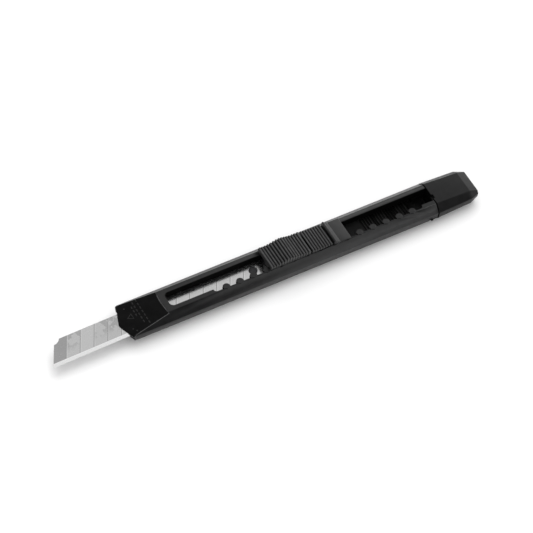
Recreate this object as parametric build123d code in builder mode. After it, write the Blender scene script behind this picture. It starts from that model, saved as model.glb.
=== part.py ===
from build123d import *
import math
import os

# Snap-off blade utility knife. All sizes in millimetres.
# X runs from the blade's tip (-X) to the end cap (+X), Z is up, away from the flat back.
# The origin is under the middle of the knife, on the surface that it lies on.

# ---- driving dimensions -------------------------------------------------------------
overall_length = 158.7          # blade tip to end of cap, blade partly out
blade_reach = 26.1              # blade tip to nose
body_width = 13.1
body_height = 7.3
edge_run = 2.3                  # slope along each long edge, across and down
edge_drop = 2.45
body_fillet = 0.3
jaw_setback = 0.6               # the jaw under the blade, behind the lip above it

blade_width = 9.0               # 9 mm snap-off blade
blade_length = 80.0
blade_thickness = 0.38
blade_pitch = 5.0               # snap-off segments, scored at 60 degrees
blade_angle = 60.0
blade_yaw = 0.85                # the blade leans on the near side of its guide, by its play
blade_segments = 12
bevel_width = 1.27

slot_half = 2.7                 # narrow slot, half width
rack_edge = 3.85                # near edge of the slot beside the rack, from the middle
tooth_pitch = 5.0
tooth_count = 15
tooth_width = 2.5
tooth_tip = 2.3                 # tip of each tooth, from the middle
tooth_depth = 1.0               # how far a rack tooth goes down

cap_length = 16.25
cap_shoulder = 3.25             # length of the cap's tapered end
cap_gap = 0.35
slide_length = 30.4             # thumb slide, front edge to tail
slide_front_x = 1.0             # front of the slide's neck
block_rear_x = 27.3             # rear of the block that runs in the channel
neck_rear_x = 29.9              # rear of the neck under the tail

tip_to_stud = 75.7              # sharp tip to the hole in the blade, along it
stud_radius = 1.4
stud_stand = 0.12               # the stud's height above the blade

# ---- places worked out from them ----------------------------------------------------
tip_x = -overall_length / 2
cap_end_x = overall_length / 2
nose_x = tip_x + blade_reach
panel_x = nose_x + 15.6         # rear of the sloping panel on the nose
slot_front_x = panel_x + 2.0
joint_x = cap_end_x - cap_length - cap_gap
half_width = body_width / 2
face_half = half_width - edge_run
side_top = body_height - edge_drop

blade_top = body_height - 2.95
blade_bottom = blade_top - blade_thickness
half_blade = blade_width / 2
yaw_cos, yaw_sin = math.cos(math.radians(blade_yaw)), math.sin(math.radians(blade_yaw))
stud_x = tip_x + tip_to_stud * yaw_cos - half_blade * yaw_sin
channel_half = half_blade + 0.25
guide_near = half_blade + tip_to_stud * yaw_sin + 0.15
channel_floor = 1.8
channel_roof = blade_top + 0.2
guide_x = nose_x + 9.25         # the channel's floor steps up to the blade ahead of here
guide_floor = blade_bottom - 0.12
guide_roof = blade_top + 0.12

tooth_x = -15.9                 # middle of the first rack tooth
rack_front_x = tooth_x - 4.45
rack_rear_x = tooth_x + (tooth_count - 1) * tooth_pitch + 4.05
rest_gap = 7                    # rack gap that the detent rests in
groove_x, groove_count, groove_pitch = 39.15, 18, 1.0   # cross grooves in the channel's floor
groove_width, groove_depth = 0.55, 0.35
detent_x = tooth_x + (rest_gap + 0.5) * tooth_pitch

pad_half = 4.3                  # thumb pads, half width
deck_z = body_height + 0.12     # underside of what rides over the body
pad_end_x = 15.05
button_front_x = pad_end_x + 0.5
button_rear_x = 23.1
lip_x = button_rear_x + 0.65
ridge_pitch = 1.0
button_pitch = 0.98
ridge_depth = 0.45
neck_half = 2.1
well_half = 1.7
stem_half = 1.5
well_front_x = 15.4
well_rear_x = 23.2
pivot = (16.6, 6.85)            # button hinge, X and Z
pivot_radius = 0.5
spring_z = 6.15
spring_thickness = 0.3
spring_front_x, spring_rear_x = 20.4, 25.6
detent_radius = 0.7
detent_y = detent_radius + 0.1 - rack_edge      # middle of the spring's nose
rivet_xs = (3.9, 8.1)
rivet_radius = 0.9

os.makedirs("parts", exist_ok=True)


def save(part, name):
    """Label one finished sub-part and write its STEP file."""
    part.label = name
    export_step(part, f"parts/{name}.step")


def octagon(width, face, top, side):
    """Eight-sided section as (Y, Z) points: half width, half width of its top, and two heights."""
    bottom, side_bottom = max(body_height - top, 0), body_height - side
    right = [(face, bottom), (width, side_bottom), (width, side), (face, top)]
    return right + [(-y, z) for y, z in reversed(right)]


def pad_height(x):
    """Height of the front thumb pad above the body: low at the front, a hump, then level."""
    hump_x = 7.4
    base, width = (1.6, 3.2) if x < hump_x else (1.95, 2.6)
    return base + (2.85 - base) * math.exp(-(((x - hump_x) / width) ** 2))


def ridge_line(first_x, count, pitch, height):
    """Zigzag of moulded ridges along X, as (X, Z) points that follow height(x)."""
    points = []
    for i in range(count):
        x = first_x + i * pitch
        top = body_height + height(x)
        points += [(x - 0.18 * pitch, top), (x + 0.16 * pitch, top)]
        points += [(x + 0.4 * pitch, top - ridge_depth), (x + 0.6 * pitch, top - ridge_depth)]
    return points[:-2]


# ---- housing: one moulding, with the blade channel, top slot, rack and nose ----------
with BuildPart() as nose_top_cut:
    # Everything above the nose panel's slope, bounded behind by a shallow curve.
    with BuildSketch(Plane.XZ) as top_slope:
        with BuildLine():
            Polyline((nose_x - 1, 4.55), (panel_x + 2, 7.25), (panel_x + 2, 9), (nose_x - 1, 9), close=True)
        make_face()
    extrude(amount=half_width + 1, both=True)
    with BuildSketch() as panel_plan:
        with BuildLine():
            Line((panel_x + 1.2, half_width + 1), (nose_x - 1, half_width + 1))
            Line((nose_x - 1, half_width + 1), (nose_x - 1, -half_width - 1))
            Line((nose_x - 1, -half_width - 1), (panel_x + 1.2, -half_width - 1))
            ThreePointArc((panel_x + 1.2, -half_width - 1), (panel_x - 0.3, 0), (panel_x + 1.2, half_width + 1))
        make_face()
    extrude(amount=12, mode=Mode.INTERSECT)


def nose_edge(inset, apex_inset):
    """Front edge of the nose in plan, as (X, Y) points: far end, far bend, blunt tip, near end."""
    return [
        (nose_x + 2.85 + inset, half_width + 1), (nose_x + 1.5 + (inset + apex_inset) / 2, 3.5),
        (nose_x + apex_inset, -0.3), (nose_x + apex_inset, -1.0), (nose_x + 2.5 + inset, -half_width - 1),
    ]


with BuildPart() as nose_edge_cut:
    # A steep step above the blade's lip, then a shallower bevel that runs out on the panel.
    for low, high in (((4.42, 0, 0), (4.68, 0.3, 0.35)), ((4.68, 0.3, 0.35), (5.25, 1.0, 2.3))):
        for z, inset, apex_inset in (low, high):
            with BuildSketch(Plane.XY.offset(z)):
                Polygon(
                    *nose_edge(inset, apex_inset), (nose_x - 3, -half_width - 1), (nose_x - 3, half_width + 1),
                    align=None,
                )
        loft()
    with BuildSketch(Plane.XY.offset(5.25)):
        Polygon(
            *nose_edge(1.0, 2.3), (nose_x - 3, -half_width - 1), (nose_x - 3, half_width + 1), align=None
        )
    extrude(amount=3)

with BuildPart() as housing:
    with BuildSketch(Plane.YZ.offset(nose_x)):
        Polygon(*octagon(half_width, face_half, body_height, side_top), align=None)
    extrude(amount=joint_x - nose_x)
    fillet(housing.edges().filter_by(Axis.X), body_fillet)
    # Blunt arrow-shaped nose in plan.
    with BuildSketch():
        Polygon((joint_x, half_width + 1), *nose_edge(0, 0), (joint_x, -half_width - 1), align=None)
    extrude(amount=body_height, mode=Mode.INTERSECT)
    # The jaw under the blade stands back from the lip above it.
    with BuildSketch():
        Polygon(
            *nose_edge(jaw_setback, jaw_setback), (nose_x - 3, -half_width - 1), (nose_x - 3, half_width + 1),
            align=None,
        )
    extrude(amount=guide_floor, mode=Mode.SUBTRACT)
    add(nose_top_cut.part, mode=Mode.SUBTRACT)
    add(nose_edge_cut.part, mode=Mode.SUBTRACT)
    # The underside of the nose slopes up to match.
    with BuildSketch(Plane.XZ):
        with BuildLine():
            Polyline(
                (panel_x, 0), (nose_x + 3.5, 2.6), (nose_x - 1, 2.95), (nose_x - 1, -1), (panel_x, -1),
                close=True,
            )
        make_face()
    extrude(amount=half_width + 1, both=True, mode=Mode.SUBTRACT)
    # Channel for the blade and the slide, deeper behind the nose.
    with BuildSketch(Plane.YZ.offset(nose_x - 1)):
        with Locations(((channel_half - guide_near) / 2, (guide_floor + guide_roof) / 2)):
            Rectangle(channel_half + guide_near, guide_roof - guide_floor)
    extrude(amount=guide_x - nose_x + 2, mode=Mode.SUBTRACT)
    with BuildSketch(Plane.YZ.offset(guide_x)):
        with Locations((0, (channel_floor + channel_roof) / 2)):
            Rectangle(2 * channel_half, channel_roof - channel_floor)
    extrude(amount=joint_x - guide_x + 1, mode=Mode.SUBTRACT)
    # Behind the guide the near wall is relieved as far as the leaning blade reaches.
    with BuildSketch(Plane.YZ.offset(guide_x - 0.1)):
        with Locations((-guide_near / 2, (guide_floor + guide_roof) / 2)):
            Rectangle(guide_near, guide_roof - guide_floor)
    extrude(amount=stud_x - guide_x + 30, mode=Mode.SUBTRACT)
    # Top slot, open to the rear, with a rounded front end and a wider stretch beside the rack.
    with BuildSketch(Plane.XY.offset(channel_roof - 0.1)) as slot_plan:
        with Locations(((slot_front_x + joint_x + 1) / 2, 0)):
            Rectangle(joint_x + 1 - slot_front_x, 2 * slot_half)
        fillet(slot_plan.vertices().sort_by(Axis.X)[:2], 1.5)
        with Locations(((rack_front_x + rack_rear_x) / 2, -rack_edge / 2)):
            Rectangle(rack_rear_x - rack_front_x, rack_edge)
        rack_corners = slot_plan.vertices().filter_by_position(Axis.Y, -rack_edge - 0.01, -rack_edge + 0.01)
        fillet(rack_corners, rack_edge - slot_half - 0.05)
    extrude(amount=body_height, mode=Mode.SUBTRACT)
    # Rack of rounded teeth along the slot's near side.
    with BuildSketch(Plane.XY.offset(body_height - tooth_depth)):
        for i in range(tooth_count):
            with Locations((tooth_x + i * tooth_pitch, -(rack_edge + 0.2 + tooth_tip + 1.1) / 2)):
                Rectangle(tooth_width, rack_edge + 0.2 - tooth_tip - 1.1)
            with Locations((tooth_x + i * tooth_pitch, -tooth_tip - 1.1)):
                Ellipse(tooth_width / 2, 1.1)
    extrude(amount=tooth_depth)
    # Small relief at the front foot of each tooth.
    with BuildSketch(Plane.XY.offset(channel_roof - 0.1)):
        for i in range(tooth_count):
            with Locations((tooth_x + i * tooth_pitch - tooth_width / 2 - 0.1, -rack_edge + 0.1)):
                Circle(0.28)
    extrude(amount=body_height, mode=Mode.SUBTRACT)
    # Fine cross grooves in the channel's floor and a small pip on it, seen behind the slide.
    with BuildSketch(Plane.XY.offset(channel_floor - groove_depth)):
        for i in range(groove_count):
            with Locations((groove_x + i * groove_pitch, 0)):
                Rectangle(groove_width, 2 * channel_half - 1)
    extrude(amount=2 * groove_depth, mode=Mode.SUBTRACT)
    with BuildSketch(Plane.XY.offset(channel_floor)):
        with Locations((rack_rear_x + 0.9, 1.7)):
            Circle(0.3)
    extrude(amount=0.25)
    # Open notch in the near side wall for the cap's latch nub.
    with BuildSketch(Plane.XZ.offset(half_width - 0.8)):
        with Locations((joint_x - 1.3, 2.6)):
            Rectangle(4.0, 1.0)
    extrude(amount=2, mode=Mode.SUBTRACT)
save(housing.part, "housing")

# ---- end cap: plugs into the channel and pulls off to the rear ------------------------
cap_x = joint_x + cap_gap
prong_length, prong_width = 4.9, 1.7
prong_bottom, prong_top = channel_floor + 0.15, channel_roof - 0.15
cap_shoulder_x = cap_end_x - cap_shoulder
with BuildPart() as end_cap:
    # Slopes in a little to a shoulder, then tapers sharply to the end face.
    cap_sections = (
        (cap_x, half_width + 0.1, face_half + 0.05, body_height + 0.1, side_top),
        (cap_shoulder_x, half_width - 0.4, face_half - 0.2, body_height - 0.75, side_top - 0.1),
        (cap_end_x, half_width - 1.65, face_half - 0.1, body_height - 2.1, side_top - 0.5),
    )
    for front, back in zip(cap_sections, cap_sections[1:]):
        for x, width, face, top, side in (front, back):
            with BuildSketch(Plane.YZ.offset(x)):
                Polygon(*octagon(width, face, top, side), align=None)
        loft()
    # Slot across the end face for snapping off blade segments.
    with BuildSketch(Plane.YZ.offset(cap_end_x - 6.5)):
        with Locations((0, body_height / 2)):
            Rectangle(blade_width + 0.8, 0.9)
    extrude(amount=8, mode=Mode.SUBTRACT)
    # Small notch in the top edge of the joint, to start the cap with a fingernail.
    with BuildSketch(Plane.XY.offset(body_height - 1.2)):
        with Locations((cap_x, -1.3)):
            Rectangle(1.2, 1.6)
    extrude(amount=2, mode=Mode.SUBTRACT)
    # Two prongs that fit the sides of the channel, under the rails beside the slot.
    with BuildSketch(Plane.YZ.offset(cap_x - prong_length)):
        for side in (-1, 1):
            with Locations((side * (channel_half - 0.15 - prong_width / 2), (prong_bottom + prong_top) / 2)):
                Rectangle(prong_width, prong_top - prong_bottom)
    extrude(amount=prong_length + 0.3)
    # Latch tongue that lies in the housing's notch, with a small nub at its tip.
    with BuildSketch(Plane.XZ.offset(half_width - 0.65)):
        with Locations((cap_x - 1.3, 2.6)):
            Rectangle(3.2, 0.7)
    extrude(amount=0.6)
    with BuildSketch(Plane.XZ.offset(half_width - 0.1)):
        with Locations((cap_x - 2.45, 2.6)):
            Rectangle(0.9, 0.7)
    extrude(amount=0.35)
save(end_cap.part, "end_cap")

# ---- blade: scored snap-off strip with a hole near its tail ---------------------------
slant = blade_width / math.tan(math.radians(blade_angle))
front, tail = -tip_to_stud, blade_length - tip_to_stud
corner = front + 0.83 * slant


def blade_plane(z):
    """Horizontal plane at height z, about the stud and turned with the blade."""
    return Plane(origin=(stud_x, 0, z), x_dir=(yaw_cos, yaw_sin, 0), z_dir=(0, 0, 1))


with BuildPart() as blade:
    with BuildSketch(blade_plane(blade_bottom)):
        with BuildLine():
            Line((front, -half_blade), (corner, half_blade - 1.5))
            ThreePointArc((corner, half_blade - 1.5), (corner + 1.5, half_blade - 1.1), (corner + 2.6, half_blade))
            Polyline(
                (corner + 2.6, half_blade), (tail - 0.8, half_blade), (tail, half_blade - 0.8),
                (tail, 0.8 - half_blade), (tail - 0.8, -half_blade), (front, -half_blade),
            )
        make_face()
        Circle(stud_radius + 0.15, mode=Mode.SUBTRACT)
    extrude(amount=blade_thickness)
    # Ground bevels on both faces of the cutting edge.
    bevel_plane = Plane(origin=(stud_x, 0, 0), x_dir=(-yaw_sin, yaw_cos, 0), z_dir=(yaw_cos, yaw_sin, 0))
    for z, side in ((blade_top, 1), (blade_bottom, -1)):
        with BuildSketch(bevel_plane.offset(front - 1)):
            with BuildLine():
                Polyline(
                    (-half_blade + bevel_width, z), (-half_blade - 0.2, z - side * 0.19),
                    (-half_blade - 0.2, z + side), (-half_blade + bevel_width, z + side), close=True,
                )
            make_face()
        extrude(amount=blade_length + 2, mode=Mode.SUBTRACT)
    # Score lines, one for each segment.
    with BuildSketch(blade_plane(blade_top - 0.07)):
        for i in range(blade_segments):
            with Locations((front + 4.5 + i * blade_pitch + slant / 2, 0)):
                Rectangle(blade_width / math.sin(math.radians(blade_angle)) + 0.6, 0.16, rotation=blade_angle)
    extrude(amount=0.2, mode=Mode.SUBTRACT)
save(blade.part, "blade")

# ---- blade carrier: steel strip under the blade's tail --------------------------------
carrier_bottom, carrier_top = 3.05, blade_bottom - 0.02
carrier_front_x, carrier_rear_x = -8.0, 10.4
with BuildPart() as blade_carrier:
    with BuildSketch(Plane.XY.offset(carrier_bottom)) as carrier_plan:
        with Locations(((carrier_front_x + carrier_rear_x) / 2, 0)):
            RectangleRounded(carrier_rear_x - carrier_front_x, blade_width, 1.0)
        with Locations((stud_x, 0)):
            Circle(stud_radius - 0.2, mode=Mode.SUBTRACT)
        with Locations(*[(x, 0) for x in rivet_xs]):
            Circle(rivet_radius + 0.02, mode=Mode.SUBTRACT)
    extrude(amount=carrier_top - carrier_bottom)
save(blade_carrier.part, "blade_carrier")

# ---- blade stud: shouldered pin that the blade hooks over -----------------------------
with BuildPart() as blade_stud:
    with BuildSketch(Plane.XY.offset(carrier_bottom)):
        with Locations((stud_x, 0)):
            Circle(stud_radius - 0.22)
    extrude(amount=carrier_top - carrier_bottom)
    with BuildSketch(Plane.XY.offset(carrier_top)):
        with Locations((stud_x, 0)):
            Circle(stud_radius)
    extrude(amount=blade_top + stud_stand - carrier_top)
    chamfer(blade_stud.edges().group_by(Axis.Z)[-1], 0.1)
save(blade_stud.part, "blade_stud")

# ---- slide block: runs in the channel, its neck in the slot, with lip and tail --------
slide_bottom = channel_floor + 0.15
with BuildPart() as slide_block:
    # Skid under the carrier and body of the block behind it.
    with BuildSketch(Plane.XZ):
        with BuildLine():
            Polyline(
                (slide_front_x, slide_bottom), (block_rear_x, slide_bottom), (block_rear_x, channel_roof - 0.05),
                (carrier_rear_x + 0.1, channel_roof - 0.05), (carrier_rear_x + 0.1, carrier_bottom - 0.02),
                (slide_front_x, carrier_bottom - 0.02), close=True,
            )
        make_face()
    extrude(amount=half_blade, both=True)
    # Neck through the slot.
    with BuildSketch(Plane.XZ):
        with BuildLine():
            Polyline(
                (slide_front_x, carrier_top + 0.02), (carrier_rear_x + 0.2, carrier_top + 0.02),
                (carrier_rear_x + 0.2, 4.3), (block_rear_x, 4.3), (block_rear_x, channel_roof),
                (neck_rear_x, channel_roof), (neck_rear_x, deck_z), (slide_front_x, deck_z), close=True,
            )
        make_face()
    extrude(amount=neck_half, both=True)
    # Rear lip and the thin tail that covers the slot.
    with BuildSketch(Plane.XZ):
        with BuildLine():
            Polyline(
                (lip_x, deck_z), (lip_x, body_height + 1.6), (lip_x + 0.3, body_height + 1.95),
                (lip_x + 0.6, body_height + 1.9), (lip_x + 1.1, body_height + 1.3),
                (lip_x + 1.75, body_height + 1.1), (lip_x + 2.4, body_height + 0.5),
                (slide_length - 0.3, body_height + 0.4),
                (slide_length, body_height + 0.25), (slide_length, deck_z), close=True,
            )
        make_face()
    extrude(amount=pad_half, both=True)
    # Well for the lock button's stem, the spring's pocket behind it and its side window.
    with BuildSketch(Plane.XY.offset(spring_z - 0.75)):
        with Locations(((well_front_x + well_rear_x) / 2, 0)):
            Rectangle(well_rear_x - well_front_x, 2 * well_half)
    extrude(amount=3, mode=Mode.SUBTRACT)
    with BuildSketch(Plane.XY.offset(spring_z - 0.02)):
        with Locations((spring_rear_x - 1.2, 0)):
            Rectangle(2.6, 2 * stem_half + 0.2)
    extrude(amount=spring_thickness + 0.04, mode=Mode.SUBTRACT)
    with BuildSketch(Plane.XY.offset(spring_z - 0.6)):
        with Locations((detent_x, -neck_half)):
            Rectangle(2.0, 2.0)
    extrude(amount=spring_thickness + 0.8, mode=Mode.SUBTRACT)
    # Cross holes for the button's pin, and blind holes for the carrier's rivets.
    with BuildSketch(Plane.XZ.offset(-neck_half - 1)):
        with Locations(pivot):
            Circle(pivot_radius + 0.01)
    extrude(amount=2 * neck_half + 2, mode=Mode.SUBTRACT)
    with BuildSketch(Plane.XY.offset(slide_bottom)):
        with Locations(*[(x, 0) for x in rivet_xs]):
            Circle(rivet_radius + 0.02)
    extrude(amount=3.4, mode=Mode.SUBTRACT)
save(slide_block.part, "slide_block")

# ---- carrier rivets -------------------------------------------------------------------
with BuildPart() as carrier_rivets:
    with BuildSketch(Plane.XY.offset(slide_bottom)):
        with Locations(*[(x, 0) for x in rivet_xs]):
            Circle(rivet_radius)
    extrude(amount=3.35)
save(carrier_rivets.part, "carrier_rivets")

# ---- front thumb pad: ridged, with a raised front lip ---------------------------------
with BuildPart() as thumb_pad:
    with BuildSketch(Plane.XZ):
        with BuildLine():
            Polyline(
                (0, deck_z), (0, body_height + 1.35), (0.25, body_height + 1.7), (0.85, body_height + 1.7),
                (1.0, body_height + 1.25), *ridge_line(1.45, 14, ridge_pitch, pad_height),
                (pad_end_x, body_height + 1.6), (pad_end_x, deck_z), close=True,
            )
        make_face()
    extrude(amount=pad_half, both=True)
save(thumb_pad.part, "thumb_pad")

# ---- lock button: rear ridged pad that tips about its front pin ------------------------
with BuildPart() as lock_button:
    with BuildSketch(Plane.XZ):
        with BuildLine():
            Polyline(
                (button_front_x, deck_z + 0.03), (button_front_x, body_height + 1.5),
                *ridge_line(button_front_x + 0.4, 7, button_pitch, lambda x: 1.6 - 0.045 * (x - button_front_x)),
                (button_rear_x - 1.0, body_height + 0.95), (button_rear_x - 0.6, body_height + 0.95),
                (button_rear_x - 0.45, body_height + 1.3), (button_rear_x - 0.1, body_height + 1.3),
                (button_rear_x, body_height + 1.1), (button_rear_x, body_height + 0.75), close=True,
            )
        make_face()
    extrude(amount=pad_half, both=True)
    with BuildSketch(Plane.XZ):
        with BuildLine():
            Polyline(
                (15.8, spring_z + 0.15), (16.6, spring_z + 0.05), (18.2, spring_z + spring_thickness),
                (22.7, spring_z + spring_thickness), (22.7, body_height + 0.8), (15.8, body_height + 0.8),
                close=True,
            )
        make_face()
    extrude(amount=stem_half, both=True)
    with BuildSketch(Plane.XZ.offset(-stem_half - 1)):
        with Locations(pivot):
            Circle(pivot_radius + 0.05)
    extrude(amount=2 * stem_half + 2, mode=Mode.SUBTRACT)
save(lock_button.part, "lock_button")

# ---- button pin -----------------------------------------------------------------------
with BuildPart() as button_pin:
    with BuildSketch(Plane.XZ.offset(-neck_half + 0.03)):
        with Locations(pivot):
            Circle(pivot_radius)
    extrude(amount=2 * neck_half - 0.06)
save(button_pin.part, "button_pin")

# ---- lock spring: flat leaf under the button, with a nose that sits in the rack --------
with BuildPart() as lock_spring:
    with BuildSketch(Plane.XY.offset(spring_z)):
        with Locations(((spring_front_x + spring_rear_x) / 2, 0)):
            Rectangle(spring_rear_x - spring_front_x, 2 * stem_half)
        with Locations((detent_x, detent_y / 2)):
            Rectangle(2 * detent_radius, -detent_y)
        with Locations((detent_x, detent_y)):
            Circle(detent_radius)
    extrude(amount=spring_thickness)
save(lock_spring.part, "lock_spring")
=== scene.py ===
import logging
import math
from dataclasses import dataclass, field
from enum import Enum

import bpy
from mathutils import Matrix, Vector


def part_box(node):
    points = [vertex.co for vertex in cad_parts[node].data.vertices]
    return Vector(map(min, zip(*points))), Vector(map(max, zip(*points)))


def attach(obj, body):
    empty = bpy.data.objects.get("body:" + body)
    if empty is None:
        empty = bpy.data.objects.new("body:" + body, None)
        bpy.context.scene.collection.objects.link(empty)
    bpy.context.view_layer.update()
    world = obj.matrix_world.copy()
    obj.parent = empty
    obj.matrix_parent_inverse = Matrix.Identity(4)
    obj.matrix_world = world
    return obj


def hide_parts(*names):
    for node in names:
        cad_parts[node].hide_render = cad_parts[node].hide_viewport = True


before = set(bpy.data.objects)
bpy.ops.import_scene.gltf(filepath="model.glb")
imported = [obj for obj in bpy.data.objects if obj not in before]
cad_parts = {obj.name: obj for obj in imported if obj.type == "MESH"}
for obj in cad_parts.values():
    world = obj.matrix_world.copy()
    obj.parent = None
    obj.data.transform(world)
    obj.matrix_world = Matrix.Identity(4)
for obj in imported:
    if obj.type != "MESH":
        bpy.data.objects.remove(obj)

# Looks of a slim snap-off utility knife, in metres: X from the blade's tip to the end cap, Z up.

LOG = logging.getLogger("utility_knife")
MM = 0.001
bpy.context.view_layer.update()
Colour = tuple[float, float, float]
WHITE = (1, 1, 1, 1)
CAMERA_SENSOR = 36.0
MERGE_GAP = 0.002                       # in millimetres
FLAT_ANGLE = math.radians(0.5)
ROUNDING_SEGMENTS = 2
SMALLEST_SPLIT = 5                      # faces with at least this many corners are cut up
CLOUD_LOW, CLOUD_HIGH = 0.3, 0.7        # the part of a noise's range that carries its pattern


class Region(Enum):
    """Where a face of the housing lies; the number is its place among the materials."""

    OUTSIDE = 0
    PANEL = 1
    CHANNEL = 2
    FLOOR = 3
    EDGE = 4


# ---- small helpers ----------------------------------------------------------------------
def select_only(piece: bpy.types.Object) -> None:
    """Deselect everything, then select one piece and make it active.

    Args:
        piece: The object that the next operator works on.
    """
    bpy.ops.object.select_all(action="DESELECT")
    piece.select_set(True)
    bpy.context.view_layer.objects.active = piece


def apply_modifiers(piece: bpy.types.Object) -> None:
    """Apply every modifier of a piece, in order.

    Args:
        piece: The object whose modifiers become its mesh.
    """
    select_only(piece)
    for modifier in list(piece.modifiers):
        bpy.ops.object.modifier_apply(modifier=modifier.name)


def settle(piece: bpy.types.Object, place: Matrix, smooth_angle: float = 35.0) -> None:
    """Put a piece's place into its mesh, leave its object at the origin and smooth its curves.

    Args:
        piece: The object, modelled about its own origin.
        place: Where the modelled shape goes, in the knife's frame.
        smooth_angle: Edges sharper than this many degrees stay crisp.
    """
    piece.data.transform(place @ piece.matrix_world)
    piece.matrix_world = Matrix.Identity(4)
    select_only(piece)
    bpy.ops.object.mode_set(mode="EDIT")
    bpy.ops.mesh.select_all(action="SELECT")
    bpy.ops.mesh.normals_make_consistent(inside=False)
    bpy.ops.object.mode_set(mode="OBJECT")
    bpy.ops.object.shade_smooth_by_angle(angle=math.radians(smooth_angle))


def moulded(node: str, width: float, finishes: tuple["Plastic", ...], edge_finish: int = -1,
            smooth_angle: float = 30.0, rounded_to: float = math.inf) -> bpy.types.Object:
    """Copy a CAD node and round its sharp edges, as they leave the mould.

    Args:
        node: The CAD node that the copy stands for.
        width: How far each rounding reaches from its edge.
        finishes: The piece's materials; the first one is all over it.
        edge_finish: Which of them the rounded edges take, or -1 for their neighbours'.
        smooth_angle: Edges sharper than this many degrees are rounded.
        rounded_to: Edges further along X than this stay sharp.

    Returns:
        The rounded copy, riding nowhere yet.
    """
    piece = bpy.data.objects.new(f"{node}_moulded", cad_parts[node].data.copy())
    piece.data.materials.clear()
    for finish in finishes:
        piece.data.materials.append(finish.sheet().material)
    bpy.context.scene.collection.objects.link(piece)
    # Worked on in millimetres, because the operators lose their footing on very small faces.
    piece.data.transform(Matrix.Scale(1 / MM, 4))
    select_only(piece)
    bpy.ops.object.mode_set(mode="EDIT")
    bpy.ops.mesh.select_all(action="SELECT")
    bpy.ops.mesh.remove_doubles(threshold=MERGE_GAP)
    bpy.ops.mesh.dissolve_limited(angle_limit=FLAT_ANGLE)
    bpy.ops.mesh.select_mode(type="EDGE")
    bpy.ops.mesh.select_all(action="DESELECT")
    bpy.ops.mesh.edges_select_sharp(sharpness=math.radians(smooth_angle))
    bpy.ops.object.mode_set(mode="OBJECT")
    mesh = piece.data
    chosen = [edge.index for edge in mesh.edges if edge.select
              and all(mesh.vertices[i].co.x * MM < rounded_to for i in edge.vertices)]
    for group in (mesh.vertices, mesh.edges, mesh.polygons):
        group.foreach_set("select", [False] * len(group))
    for index in chosen:
        mesh.edges[index].select = True
    bpy.ops.object.mode_set(mode="EDIT")
    bpy.ops.mesh.bevel(offset=width / MM, segments=ROUNDING_SEGMENTS, affect="EDGES",
                       clamp_overlap=False, material=edge_finish)
    bpy.ops.object.mode_set(mode="OBJECT")
    facets = piece.modifiers.new("facets", "TRIANGULATE")
    facets.min_vertices = SMALLEST_SPLIT
    apply_modifiers(piece)
    piece.data.transform(Matrix.Scale(MM, 4))
    bpy.ops.object.shade_smooth_by_angle(angle=math.radians(smooth_angle))
    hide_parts(node)
    return piece


def dress(piece: bpy.types.Object, material: bpy.types.Material) -> None:
    """Give a piece, or a CAD node, one material all over.

    Args:
        piece: The object to dress.
        material: Its new material.
    """
    if not piece.material_slots:
        piece.data.materials.append(material)
    for slot in piece.material_slots:
        slot.material = material


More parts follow.
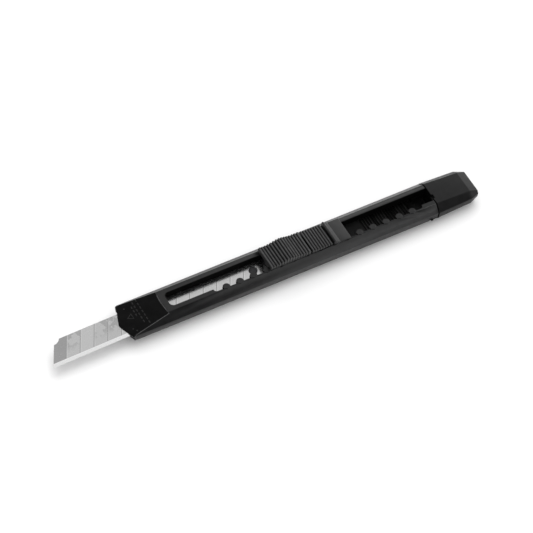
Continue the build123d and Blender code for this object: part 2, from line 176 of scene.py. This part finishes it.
# ---- finishes ---------------------------------------------------------------------------
class NodeSheet:
    """One material's node tree, with short ways to add what the finishes need."""

    def __init__(self, name: str) -> None:
        """Start an empty material with one surface shader.

        Args:
            name: The material's name.
        """
        self.material = bpy.data.materials.new(name)
        self.material.use_nodes = True
        self.tree = self.material.node_tree
        self.tree.nodes.clear()
        self.shader = self.add("ShaderNodeBsdfPrincipled")
        output = self.add("ShaderNodeOutputMaterial")
        self.tree.links.new(self.shader.outputs["BSDF"], output.inputs["Surface"])
        self.place = self.add("ShaderNodeTexCoord").outputs["Object"]

    def add(self, kind: str) -> bpy.types.Node:
        """Add one node of a kind."""
        return self.tree.nodes.new(kind)

    def feed(self, source: object, target: bpy.types.NodeSocket) -> None:
        """Link an output socket to an input, or set the input to a plain value.

        Args:
            source: A socket, a number or a colour.
            target: The input socket.
        """
        if isinstance(source, bpy.types.NodeSocket):
            self.tree.links.new(source, target)
        else:
            target.default_value = source

    def noise(self, size: float, detail: float = 3.0,
              stretch: Colour = (1.0, 1.0, 1.0)) -> bpy.types.NodeSocket:
        """Add smooth noise over the piece.

        Args:
            size: Size of the noise's spots, in metres.
            detail: How many finer layers lie on top.
            stretch: Frequency along each axis, against the plain one.

        Returns:
            The noise's value socket, about 0.5 on average.
        """
        mapping = self.add("ShaderNodeMapping")
        mapping.inputs["Scale"].default_value = stretch
        noise = self.add("ShaderNodeTexNoise")
        noise.inputs["Scale"].default_value = 1.0 / size
        noise.inputs["Detail"].default_value = detail
        self.feed(self.place, mapping.inputs["Vector"])
        self.feed(mapping.outputs["Vector"], noise.inputs["Vector"])
        return noise.outputs["Fac"]

    def ranged(self, value: bpy.types.NodeSocket, low: float, high: float, first: float, last: float,
               smooth: bool = True) -> bpy.types.NodeSocket:
        """Map a value from low..high to first..last, held at the ends."""
        node = self.add("ShaderNodeMapRange")
        node.interpolation_type = "SMOOTHSTEP" if smooth else "LINEAR"
        self.feed(value, node.inputs["Value"])
        ends = (("From Min", low), ("From Max", high), ("To Min", first), ("To Max", last))
        for socket, number in ends:
            node.inputs[socket].default_value = number
        return node.outputs["Result"]

    def math(self, operation: str, first: object, second: object) -> bpy.types.NodeSocket:
        """Add one arithmetic step of two values."""
        node = self.add("ShaderNodeMath")
        node.operation = operation
        self.feed(first, node.inputs[0])
        self.feed(second, node.inputs[1])
        return node.outputs["Value"]

    def mix(self, share: bpy.types.NodeSocket, first: object, second: object) -> bpy.types.NodeSocket:
        """Mix two colours by a share from 0 to 1."""
        node = self.add("ShaderNodeMix")
        node.data_type = "RGBA"
        self.feed(share, node.inputs["Factor"])
        for name, colour in (("A", first), ("B", second)):
            socket = next(s for s in node.inputs if s.name == name and s.type == "RGBA")
            self.feed(colour if isinstance(colour, bpy.types.NodeSocket) else (*colour, 1.0), socket)
        return next(s for s in node.outputs if s.type == "RGBA")

    def bump(self, height: bpy.types.NodeSocket, depth: float) -> None:
        """Raise the surface's shading by a height pattern.

        Args:
            height: The pattern, from 0 to 1.
            depth: How far 1 stands above 0, in metres.
        """
        node = self.add("ShaderNodeBump")
        node.inputs["Strength"].default_value = 1.0
        node.inputs["Distance"].default_value = depth
        self.feed(height, node.inputs["Height"])
        self.feed(node.outputs["Normal"], self.shader.inputs["Normal"])

    def axis(self, name: str) -> bpy.types.NodeSocket:
        """Read one coordinate of the place, in metres: X, Y or Z."""
        node = self.add("ShaderNodeSeparateXYZ")
        self.feed(self.place, node.inputs["Vector"])
        return node.outputs[name]


@dataclass(frozen=True)
class Plastic:
    """A moulded plastic: fine spark-eroded grain, faint mottling and a slightly uneven gloss."""

    name: str
    colour: Colour
    roughness: float = 0.38
    specular: float = 0.5
    grain: float = 0.12 * MM
    grain_depth: float = 0.003 * MM
    mottle: float = 0.25
    mottle_size: float = 2.5 * MM
    sheen_size: float = 1.2 * MM
    sheen_spread: float = 0.04

    def sheet(self) -> NodeSheet:
        """Build the finish's node tree.

        Returns:
            The tree, so that a piece can add its own marks.
        """
        sheet = NodeSheet(self.name)
        dark = tuple(c * (1 - self.mottle) for c in self.colour)
        light = tuple(c * (1 + self.mottle) for c in self.colour)
        clouds = sheet.ranged(sheet.noise(self.mottle_size, 4), CLOUD_LOW, CLOUD_HIGH, 0.0, 1.0)
        sheet.feed(sheet.mix(clouds, dark, light), sheet.shader.inputs["Base Color"])
        gloss = sheet.ranged(sheet.noise(self.sheen_size), CLOUD_LOW, CLOUD_HIGH,
                             self.roughness - self.sheen_spread, self.roughness + self.sheen_spread)
        sheet.feed(gloss, sheet.shader.inputs["Roughness"])
        sheet.feed(self.specular, sheet.shader.inputs["Specular IOR Level"])
        sheet.bump(sheet.noise(self.grain, 2), self.grain_depth)
        return sheet


@dataclass(frozen=True)
class RidgedPlastic(Plastic):
    """Black plastic with ridges across it: crests painted paler in uneven patches as a painted highlight,
    valleys painted darker as painted shade.
    """

    first: float = 1.45 * MM
    pitch: float = 1.0 * MM
    top: float = 8.5 * MM
    # Painted shade in the valleys; the crests take the piece's colour, far paler than the plastic, as a
    # painted highlight.
    valley_shade: Colour = (0.002, 0.002, 0.002)
    plain: Colour = (0.012, 0.012, 0.0122)
    crest_core: float = 0.16
    crest_foot: float = 0.3
    # Size and least strength of the patches that make the painted crest highlight uneven.
    highlight_patch_size: float = 1.1 * MM
    least_highlight: float = 0.55
    valley_roughness: float = 0.65
    skirt_drop: float = 0.5 * MM
    skirt_fade: float = 0.2 * MM

    def sheet(self) -> NodeSheet:
        """Build the finish's node tree.

        Returns:
            The tree, so that a piece can add its own marks.
        """
        sheet = super().sheet()
        place = sheet.math("DIVIDE", sheet.math("SUBTRACT", sheet.axis("X"), self.first), self.pitch)
        away = sheet.math("ABSOLUTE", sheet.math("SUBTRACT", place, sheet.math("ROUND", place, 0.0)), 0.0)
        # Crest mask: painted highlight on the crests, painted shade in the valleys.
        crest = sheet.ranged(away, self.crest_core, self.crest_foot, 1.0, 0.0)
        highlight_patches = sheet.ranged(sheet.noise(self.highlight_patch_size, 4), CLOUD_LOW, CLOUD_HIGH, self.least_highlight, 1.0)
        colour = sheet.mix(sheet.math("MULTIPLY", crest, highlight_patches), self.valley_shade, self.colour)
        skirt = self.top - self.skirt_drop
        below = sheet.ranged(sheet.axis("Z"), skirt, skirt + self.skirt_fade, 1.0, 0.0)
        sheet.feed(sheet.mix(below, colour, self.plain), sheet.shader.inputs["Base Color"])
        gloss = sheet.ranged(crest, 0.0, 1.0, self.valley_roughness, self.roughness)
        sheet.feed(gloss, sheet.shader.inputs["Roughness"])
        return sheet


@dataclass(frozen=True)
class Steel:
    """A steel: brushed or turned grain, cloudy patches of oil and fine scratches."""

    name: str
    colour: Colour
    roughness: float = 0.3
    patches: float = 0.12
    brushing: Colour = (0.06, 1.0, 1.0)
    scratch_depth: float = 0.0012 * MM
    scratch_size: float = 0.12 * MM
    patch_size: float = 2.4 * MM
    smoother: float = 0.06
    rougher: float = 0.08

    def sheet(self) -> NodeSheet:
        """Build the finish's node tree.

        Returns:
            The tree, so that a piece can add its own marks.
        """
        sheet = NodeSheet(self.name)
        dark = tuple(c * (1 - self.patches) for c in self.colour)
        light = tuple(min(1.0, c * (1 + self.patches)) for c in self.colour)
        clouds = sheet.ranged(sheet.noise(self.patch_size, 3), 0.38, 0.62, 0.0, 1.0)
        sheet.feed(sheet.mix(clouds, dark, light), sheet.shader.inputs["Base Color"])
        scratches = sheet.noise(self.scratch_size, 3, self.brushing)
        gloss = sheet.ranged(scratches, 0.25, 0.75, self.roughness - self.smoother,
                             self.roughness + self.rougher)
        sheet.feed(gloss, sheet.shader.inputs["Roughness"])
        sheet.feed(1.0, sheet.shader.inputs["Metallic"])
        sheet.bump(scratches, self.scratch_depth)
        return sheet


# ---- studio -----------------------------------------------------------------------------
@dataclass
class Studio:
    """Pale floor, soft light and the camera. None of it belongs to the knife."""

    target: Vector = field(default_factory=lambda: Vector((0.999, -0.519, 4.35)) * MM)
    azimuth: float = -39.102
    elevation: float = 53.107
    roll: float = 10.99
    distance: float = 1.2163
    lens: float = 256.43
    floor_side: float = 6.0
    paper: tuple[Colour, Colour] = ((0.9, 0.9, 0.9), (0.91, 0.91, 0.91))
    paper_grain: float = 0.4
    paper_roughness: float = 0.9
    front_wall: float = 0.05
    rear_wall: float = 0.8
    side_wall: float = 1.2
    ambient: float = 0.92
    lamp_towards: Colour = (0.22, 0.42, 0.88)
    lamp_distance: float = 1.1
    lamp_size: float = 1.2
    lamp_power: float = 6.0

    def build(self) -> None:
        """Make the floor, the surroundings, the lights and the camera."""
        self.floor()
        self.surroundings()
        self.light("overhead_softbox", glossy=False)
        self.camera()
        LOG.info("studio ready")

    def floor(self) -> None:
        """Make the plain pale floor."""
        bpy.ops.object.select_all(action="DESELECT")
        bpy.ops.mesh.primitive_plane_add(size=self.floor_side, location=(0, 0, 0))
        floor = bpy.context.active_object
        floor.name = "studio_floor"
        sheet = NodeSheet("studio_paper")
        fibres = sheet.ranged(sheet.noise(self.paper_grain, 1), CLOUD_LOW, CLOUD_HIGH, 0.0, 1.0)
        sheet.feed(sheet.mix(fibres, *self.paper), sheet.shader.inputs["Base Color"])
        sheet.feed(self.paper_roughness, sheet.shader.inputs["Roughness"])
        sheet.feed(0.0, sheet.shader.inputs["Specular IOR Level"])
        dress(floor, sheet.material)

    def surroundings(self) -> None:
        """Make the studio's walls: pale behind the knife, dark on the camera's side."""
        world = bpy.data.worlds.new("studio_walls")
        bpy.context.scene.world = world
        world.use_nodes = True
        tree = world.node_tree
        tree.nodes.clear()

        def add(kind: str, **values: object) -> bpy.types.Node:
            """Add a node and set its named inputs."""
            node = tree.nodes.new(kind)
            for key, value in values.items():
                node.inputs[key.replace("_", " ")].default_value = value
            return node

        direction = add("ShaderNodeTexCoord").outputs["Generated"]
        parts = add("ShaderNodeSeparateXYZ")
        tree.links.new(direction, parts.inputs[0])
        rear = add("ShaderNodeMapRange", From_Min=-0.6, From_Max=0.4, To_Min=self.front_wall,
                   To_Max=self.rear_wall)
        side = add("ShaderNodeMapRange", From_Min=0.45, From_Max=0.9, To_Min=0.0, To_Max=self.side_wall)
        mirrored = add("ShaderNodeMath")
        for wall, axis, into in ((rear, "Y", 0), (side, "X", 1)):
            wall.interpolation_type = "SMOOTHSTEP"
            tree.links.new(parts.outputs[axis], wall.inputs["Value"])
            tree.links.new(wall.outputs["Result"], mirrored.inputs[into])
        light_path = add("ShaderNodeLightPath")
        room = [
            ("Is Glossy Ray", add("ShaderNodeBackground", Color=WHITE)),
            ("Is Camera Ray", add("ShaderNodeBackground", Color=WHITE, Strength=1.0)),
        ]
        tree.links.new(mirrored.outputs[0], room[0][1].inputs["Strength"])
        seen = add("ShaderNodeBackground", Color=WHITE, Strength=self.ambient).outputs[0]
        for ray, background in room:
            mixed = add("ShaderNodeMixShader")
            tree.links.new(light_path.outputs[ray], mixed.inputs[0])
            tree.links.new(seen, mixed.inputs[1])
            tree.links.new(background.outputs[0], mixed.inputs[2])
            seen = mixed.outputs[0]
        tree.links.new(seen, add("ShaderNodeOutputWorld").inputs["Surface"])
        bpy.context.scene.view_settings.view_transform = "Standard"

    def light(self, name: str, glossy: bool) -> None:
        """Hang one round soft light that faces the knife.

        Args:
            name: The light's name.
            glossy: Whether shiny surfaces mirror it.
        """
        data = bpy.data.lights.new(name, "AREA")
        data.shape, data.size, data.energy = "DISK", self.lamp_size, self.lamp_power
        lamp = bpy.data.objects.new(name, data)
        way = Vector(self.lamp_towards).normalized()
        lamp.location = way * self.lamp_distance
        lamp.rotation_euler = way.to_track_quat("Z", "Y").to_euler()
        lamp.visible_glossy = glossy
        bpy.context.scene.collection.objects.link(lamp)

    def camera(self) -> None:
        """Stand the camera up and to the near left, looking down the knife's length."""
        turn, tilt, roll = (math.radians(v) for v in (self.azimuth, self.elevation, self.roll))
        back = Vector((math.sin(turn) * math.cos(tilt), -math.cos(turn) * math.cos(tilt), math.sin(tilt)))
        level = Vector((math.cos(turn), math.sin(turn), 0))
        upright = back.cross(level)
        right = math.cos(roll) * level + math.sin(roll) * upright
        up = math.cos(roll) * upright - math.sin(roll) * level
        axes = Matrix((right, up, back)).transposed().to_4x4()
        data = bpy.data.cameras.new("camera")
        data.lens, data.sensor_width = self.lens, CAMERA_SENSOR
        data.clip_start, data.clip_end = 0.05, 50.0
        camera = bpy.data.objects.new("camera", data)
        camera.matrix_world = Matrix.Translation(self.target + self.distance * back) @ axes
        bpy.context.scene.collection.objects.link(camera)
        bpy.context.scene.camera = camera


# ---- the knife --------------------------------------------------------------------------
@dataclass(frozen=True)
class BladeSteel(Steel):
    """Ground strip steel: a bevel painted bright as a painted highlight over its brighter grind, score
    lines with painted shade and a painted highlight along one edge, its own oil film on each segment.
    """

    # The bevel's colour: its brighter grind, pushed to full white as a painted highlight.
    bevel_grind_and_highlight_colour: Colour = (1.0, 1.0, 1.0)
    # Painted shade in the score grooves and a painted highlight along one edge of each.
    groove_shade_colour: Colour = (0.4, 0.4, 0.4)
    groove_highlight_colour: Colour = (0.74, 0.74, 0.74)
    film: float = 0.78
    half_width: float = 4.5 * MM
    bevel_width: float = 1.27 * MM
    front: float = -75.7 * MM
    first_line: float = 4.5 * MM
    pitch: float = 5.0 * MM
    slope: float = math.tan(math.radians(60))
    yaw: float = math.radians(0.85)
    line_width: float = 0.17 * MM
    line_fade: float = 2.2
    film_size: float = 1.7 * MM
    film_low: float = -2.0 * MM
    film_high: float = 1.5 * MM
    bevel_fade: float = 0.05 * MM
    segment_tones: tuple[float, ...] = (0.66, 0.97, 1.0, 0.95, 0.92, 0.96, 0.9, 1.0)
    segment_films: tuple[float, ...] = (0.1, 1.0, 0.0, 1.0, 1.0, 0.3, 0.2, 0.1)

    def steps(self, sheet: NodeSheet, place: bpy.types.NodeSocket,
              levels: tuple[float, ...]) -> bpy.types.NodeSocket:
        """Give each segment its own level, held from one score line to the next.

        Args:
            sheet: The material in the making.
            place: The place along the blade, in segments from the first score line.
            levels: One level for each segment, from the tip.

        Returns:
            The level's socket.
        """
        ramp = sheet.add("ShaderNodeValToRGB")
        ramp.color_ramp.interpolation = "CONSTANT"
        for index, level in enumerate(levels):
            if index < 2:
                stop = ramp.color_ramp.elements[index]
                stop.position = index / len(levels)
            else:
                stop = ramp.color_ramp.elements.new(index / len(levels))
            stop.color = (level, level, level, 1.0)
        along = sheet.ranged(place, -1.0, len(levels) - 1.0, 0.0, 1.0, smooth=False)
        sheet.feed(along, ramp.inputs["Fac"])
        return ramp.outputs["Color"]

    def sheet(self) -> NodeSheet:
        """Build the finish's node tree.

        Returns:
            The tree, so that a piece can add its own marks.
        """
        sheet = super().sheet()
        low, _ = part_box("blade")
        stud_x = low.x - self.front * math.cos(self.yaw) - self.half_width * math.sin(self.yaw)
        along = sheet.add("ShaderNodeMapping")
        along.vector_type = "TEXTURE"
        along.inputs["Location"].default_value = (stud_x, 0.0, 0.0)
        along.inputs["Rotation"].default_value = (0.0, 0.0, self.yaw)
        sheet.feed(sheet.place, along.inputs["Vector"])
        parts = sheet.add("ShaderNodeSeparateXYZ")
        sheet.feed(along.outputs["Vector"], parts.inputs["Vector"])
        x, y = parts.outputs["X"], parts.outputs["Y"]
        # Place along the blade, in segments, measured beside the slanted score lines.
        offset = self.front + self.first_line + self.half_width / self.slope
        from_line = sheet.math("SUBTRACT", x, offset)
        slanted = sheet.math("SUBTRACT", from_line, sheet.math("DIVIDE", y, self.slope))
        place = sheet.math("DIVIDE", slanted, self.pitch)
        nearest = sheet.math("SUBTRACT", place, sheet.math("ROUND", place, 0.0))
        # Score lines: painted shade in the groove, and a painted highlight beside it on one side.
        half_line = self.line_width / self.pitch / 2
        line = sheet.ranged(sheet.math("ABSOLUTE", nearest, 0.0), half_line, self.line_fade * half_line,
                            1.0, 0.0)
        groove_highlight = sheet.ranged(sheet.math("ABSOLUTE", sheet.math("SUBTRACT", nearest, 4 * half_line), 0.0),
                           half_line, 3 * half_line, 0.5, 0.0)
        # Oil film: ragged darker patches that keep off the cutting edge.
        patches = sheet.ranged(sheet.noise(self.film_size, 5, (1.0, 0.6, 1.0)), 0.47, 0.5, 0.0, 1.0)
        far_side = sheet.ranged(y, self.film_low, self.film_high, 0.0, 1.0)
        film = sheet.math("MULTIPLY", sheet.math("MULTIPLY", patches, far_side),
                          self.steps(sheet, place, self.segment_films))
        filmed = tuple(c * self.film for c in self.colour)
        face = sheet.mix(film, self.colour, filmed)
        toned = sheet.add("ShaderNodeMix")
        toned.data_type, toned.blend_type = "RGBA", "MULTIPLY"
        toned.inputs["Factor"].default_value = 1.0
        colours = [socket for socket in toned.inputs if socket.type == "RGBA"]
        sheet.feed(face, colours[0])
        sheet.feed(self.steps(sheet, place, self.segment_tones), colours[1])
        face = next(socket for socket in toned.outputs if socket.type == "RGBA")
        face = sheet.mix(groove_highlight, face, self.groove_highlight_colour)
        face = sheet.mix(line, face, self.groove_shade_colour)
        # Bevel along the cutting edge: brighter grind plus a painted highlight, in full white.
        edge = self.bevel_width - self.half_width
        bevel_grind_and_highlight = sheet.ranged(y, edge - self.bevel_fade, edge + self.bevel_fade, 1.0, 0.0)
        sheet.feed(sheet.mix(bevel_grind_and_highlight, face, self.bevel_grind_and_highlight_colour), sheet.shader.inputs["Base Color"])
        return sheet


@dataclass
class Housing:
    """The handle's moulding, with its raised marks on the nose panel."""

    body: str = "body"
    slot: str = "black_plastic"
    outside: Plastic = Plastic("handle_black", (0.007, 0.007, 0.0072), 0.36, 0.36)
    panel: Plastic = Plastic("nose_black", (0.003, 0.003, 0.0031), 0.4, 0.06)
    # Darker, duller plastic on the slot walls: painted shade in the recess.
    channel: Plastic = Plastic("channel_shade_black", (0.003, 0.003, 0.003), 0.6, 0.04)
    # Channel floor a little darker and duller than the outside: painted shade in the recess.
    floor: Plastic = Plastic("channel_floor_shade_black", (0.006, 0.006, 0.006), 0.5, 0.3)
    # Pale grey on the rounded nose edges: a painted highlight, not the plastic's own colour.
    nose_edge_highlight: Plastic = Plastic("nose_edge_painted_highlight", (0.09, 0.09, 0.0905), 0.35, 0.6)
    marks: Plastic = Plastic("nose_marks_black", (0.008, 0.008, 0.0081), 0.4, 0.3)
    edge: float = 0.07 * MM
    channel_half: float = 4.9 * MM
    channel_floor: float = 1.4 * MM
    channel_roof: float = 4.7 * MM
    slot_half: float = 4.1 * MM
    lip_length: float = 5 * MM
    lip_half: float = 6.3 * MM
    panel_cosine: float = math.cos(math.radians(3))
    nose_length: float = 15.6 * MM
    slope_low: float = 4.55 * MM
    slope_rise: float = 2.7 / 18.6
    bar_rows: tuple[tuple[float, float, int], ...] = ((10.0, 4.9, 7), (8.6, 4.5, 6), (7.6, 3.2, 3))
    bar_pitch: float = 1.5
    bar_length: float = 0.95
    bar_width: float = 0.34
    bar_height: float = 0.12
    bar_lift: float = 0.02
    bar_edge: float = 0.05 * MM
    arrow_place: tuple[float, float] = (5.75, 0.35)
    arrow_radius: float = 1.35 * MM
    arrow_line: float = 0.2 * MM
    arrow_height: float = 0.07 * MM
    dot_places: tuple[tuple[float, float], ...] = ((5.3, 4.03), (4.3, -3.86), (5.1, -5.0))
    dot_radius: float = 0.26 * MM
    dot_height: float = 0.06 * MM
    dot_rim: float = 0.1 * MM
    dot_dish: float = 0.05 * MM
    rounded_past_nose: float = 1.5 * MM
    panel_past_nose: float = 2 * MM
    edge_below_slope: float = 0.3 * MM
    slot_below_top: float = 0.12 * MM

    def build(self) -> None:
        """Round the moulding's edges, dress its regions and raise the marks."""
        finishes = (self.outside, self.panel, self.channel, self.floor, self.nose_edge_highlight)
        low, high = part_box("housing")
        nose_end = low.x + self.nose_length + self.rounded_past_nose
        shell = moulded("housing", self.edge, finishes, Region.EDGE.value, rounded_to=nose_end)
        for face in shell.data.polygons:
            face.material_index = self.region(face, low, high).value
        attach(shell, self.body)
        LOG.info("housing moulded")
        self.raise_marks()

    def region(self, face: bpy.types.MeshPolygon, low: Vector, high: Vector) -> Region:
        """Say where one face of the moulding lies.

        Args:
            face: A face of the rounded shell.
            low: The moulding's lowest corner.
            high: Its highest corner.

        Returns:
            The region whose finish it takes.
        """
        middle, across = face.center, abs(face.center.y)
        on_nose = middle.x < low.x + self.nose_length
        above_chin = middle.z > self.slope_low - self.edge_below_slope
        # Rounded edges on the nose above the chin keep the painted highlight finish.
        if face.material_index == Region.EDGE.value and on_nose and above_chin:
            return Region.EDGE
        slope = Vector((-self.slope_rise, 0, 1)).normalized()
        near_nose = middle.x < low.x + self.nose_length + self.panel_past_nose
        if near_nose and face.normal.dot(slope) > self.panel_cosine:
            return Region.PANEL
        if middle.x < low.x + self.lip_length and across < self.lip_half and face.normal.x < -0.2:
            return Region.PANEL
        # Faces inside the slot and channel take the darker finishes: painted shade in the recess.
        in_channel = across < self.channel_half and middle.z < self.channel_roof
        in_slot = across < self.slot_half and middle.z < high.z - self.slot_below_top
        covered = in_channel or in_slot
        if not covered or middle.z < self.channel_floor or on_nose:
            return Region.OUTSIDE
        return Region.CHANNEL if face.normal.z < 0.5 else Region.FLOOR

    def raise_marks(self) -> None:
        """Make the generic raised marks on the nose panel: bars, an arrow outline and three dots."""
        low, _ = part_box("housing")
        tilt = math.atan(self.slope_rise)
        # The panel's plane starts one millimetre ahead of the nose.
        panel = Matrix.Translation((low.x - 1 * MM, 0, self.slope_low)) @ Matrix.Rotation(-tilt, 4, "Y")
        pieces = []
        for x, first_y, count in self.bar_rows:
            for i in range(count):
                pieces.append(self.bar(panel, x, first_y - i * self.bar_pitch))
        pieces.append(self.arrow(panel))
        for x, y in self.dot_places:
            pieces.append(self.dot(panel, x, y))
        bpy.ops.object.select_all(action="DESELECT")
        for piece in pieces:
            piece.select_set(True)
        bpy.context.view_layer.objects.active = pieces[0]
        bpy.ops.object.join()
        marks = bpy.context.active_object
        marks.name = "nose_marks"
        dress(marks, self.marks.sheet().material)
        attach(marks, self.body)
        LOG.info("nose marks raised")

    def bar(self, panel: Matrix, x: float, y: float) -> bpy.types.Object:
        """Make one low rounded bar along Y, one of the plain marks in rows.

        Args:
            panel: The panel's plane.
            x: Place along the panel, in millimetres.
            y: Place across it, in millimetres.

        Returns:
            The bar, settled in place.
        """
        bpy.ops.object.select_all(action="DESELECT")
        bpy.ops.mesh.primitive_cube_add(size=1)
        bar = bpy.context.active_object
        bar.scale = (self.bar_width * MM, self.bar_length * MM, self.bar_height * MM)
        bar.location = (x * MM, y * MM, self.bar_lift * MM)
        bpy.ops.object.transform_apply(location=True, rotation=False, scale=True)
        bevel = bar.modifiers.new("edges", "BEVEL")
        bevel.width, bevel.segments = self.bar_edge, ROUNDING_SEGMENTS
        apply_modifiers(bar)
        settle(bar, panel)
        return bar

    def arrow(self, panel: Matrix) -> bpy.types.Object:
        """Make the raised outline of a triangle that points away from the blade.

        Args:
            panel: The panel's plane.

        Returns:
            The outline, settled in place.
        """
        bpy.ops.object.select_all(action="DESELECT")
        bpy.ops.mesh.primitive_circle_add(vertices=3, radius=self.arrow_radius, fill_type="NGON",
                                          rotation=(0, 0, math.pi / 2))
        arrow = bpy.context.active_object
        bpy.ops.object.transform_apply(location=True, rotation=True, scale=True)
        bpy.ops.object.mode_set(mode="EDIT")
        bpy.ops.mesh.select_all(action="SELECT")
        bpy.ops.mesh.inset(thickness=self.arrow_line)
        bpy.ops.mesh.delete(type="FACE")
        bpy.ops.mesh.select_all(action="SELECT")
        bpy.ops.mesh.extrude_region_move(TRANSFORM_OT_translate={"value": (0, 0, self.arrow_height)})
        bpy.ops.object.mode_set(mode="OBJECT")
        x, y = self.arrow_place
        settle(arrow, panel @ Matrix.Translation((x * MM, y * MM, 0)))
        return arrow

    def dot(self, panel: Matrix, x: float, y: float) -> bpy.types.Object:
        """Make one small raised ring, as an ejector pin leaves.

        Args:
            panel: The panel's plane.
            x: Place along the panel, in millimetres.
            y: Place across it, in millimetres.

        Returns:
            The ring, settled in place.
        """
        bpy.ops.object.select_all(action="DESELECT")
        bpy.ops.mesh.primitive_circle_add(vertices=24, radius=self.dot_radius, fill_type="NGON")
        dot = bpy.context.active_object
        bpy.ops.object.mode_set(mode="EDIT")
        bpy.ops.mesh.select_all(action="SELECT")
        bpy.ops.mesh.extrude_region_move(TRANSFORM_OT_translate={"value": (0, 0, self.dot_height)})
        bpy.ops.mesh.inset(thickness=self.dot_rim)
        bpy.ops.transform.translate(value=(0, 0, -self.dot_dish))
        bpy.ops.object.mode_set(mode="OBJECT")
        settle(dot, panel @ Matrix.Translation((x * MM, y * MM, 0)))
        return dot


@dataclass
class EndCap:
    """The pull-off cap."""

    body: str = "cap"
    slot: str = "cap_plastic"
    finish: Plastic = Plastic("cap_black", (0.004, 0.004, 0.0041), 0.4, 0.24)
    joint: Plastic = Plastic("joint_black", (0.003, 0.003, 0.003), 0.6, 0.04)
    edge: float = 0.12 * MM
    joint_depth: float = 5.2 * MM

    def build(self) -> None:
        """Round the cap's edges and dress it."""
        cap = moulded("end_cap", self.edge, (self.finish, self.joint), smooth_angle=15.0)
        low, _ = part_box("end_cap")
        for face in cap.data.polygons:
            at_joint = face.center.x < low.x + self.joint_depth
            face.material_index = int(at_joint and face.normal.x < -0.9)
        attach(cap, self.body)
        LOG.info("end cap moulded")


@dataclass
class ThumbSlide:
    """Slide block, thumb pad, lock button, pin and spring."""

    body: str = "slide"
    button_body: str = "button"
    block: Plastic = Plastic("slide_black", (0.009, 0.009, 0.0092), 0.36, 0.36)
    # The pad and button colour, far paler than the plastic, is the painted highlight on their ridge
    # crests.
    pad: RidgedPlastic = RidgedPlastic("pad_painted_crest_highlights", (0.045, 0.045, 0.0455), 0.34, 0.5)
    button: RidgedPlastic = RidgedPlastic("button_painted_crest_highlights", (0.045, 0.045, 0.0455), 0.34, 0.5,
                                          first=15.95 * MM, pitch=0.98 * MM)
    pin: Steel = Steel("pin_steel", (0.55, 0.55, 0.56), 0.25)
    spring: Steel = Steel("spring_strip", (0.4, 0.41, 0.43), 0.3)
    edge: float = 0.12 * MM

    def build(self) -> None:
        """Round the mouldings' edges and dress the slide's pieces."""
        for node, body, slot, finish in (
            ("slide_block", self.body, "slide_plastic", self.block),
            ("thumb_pad", self.body, "pad_plastic", self.pad),
            ("lock_button", self.button_body, "pad_plastic", self.button),
        ):
            piece = moulded(node, self.edge, (finish,))
            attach(piece, body)
            LOG.info("%s moulded", node)
        dress(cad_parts["button_pin"], self.pin.sheet().material)
        dress(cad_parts["lock_spring"], self.spring.sheet().material)
        LOG.info("slide steel dressed")


@dataclass
class BladeSet:
    """Scored blade, the strip that carries it, its stud and the rivets."""

    blade: BladeSteel = BladeSteel("blade_ground", (0.63, 0.63, 0.63), 0.2, scratch_depth=0.0003 * MM)
    carrier: Steel = Steel("carrier_strip", (0.45, 0.45, 0.47), 0.35)
    stud: Steel = Steel("stud_turned", (0.05, 0.05, 0.052), 0.3)
    rivet: Steel = Steel("rivet_plain", (0.5, 0.5, 0.52), 0.3)

    def build(self) -> None:
        """Dress the steel pieces."""
        for node, finish in (
            ("blade", self.blade), ("blade_carrier", self.carrier), ("blade_stud", self.stud),
            ("carrier_rivets", self.rivet),
        ):
            dress(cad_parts[node], finish.sheet().material)
            LOG.info("%s dressed", node)


def main() -> None:
    """Build the studio and the knife, in order."""
    logging.basicConfig(level=logging.INFO, format="%(name)s: %(message)s")
    Studio().build()
    for part in (Housing(), EndCap(), ThumbSlide(), BladeSet()):
        part.build()


if __name__ == "__main__":
    main()
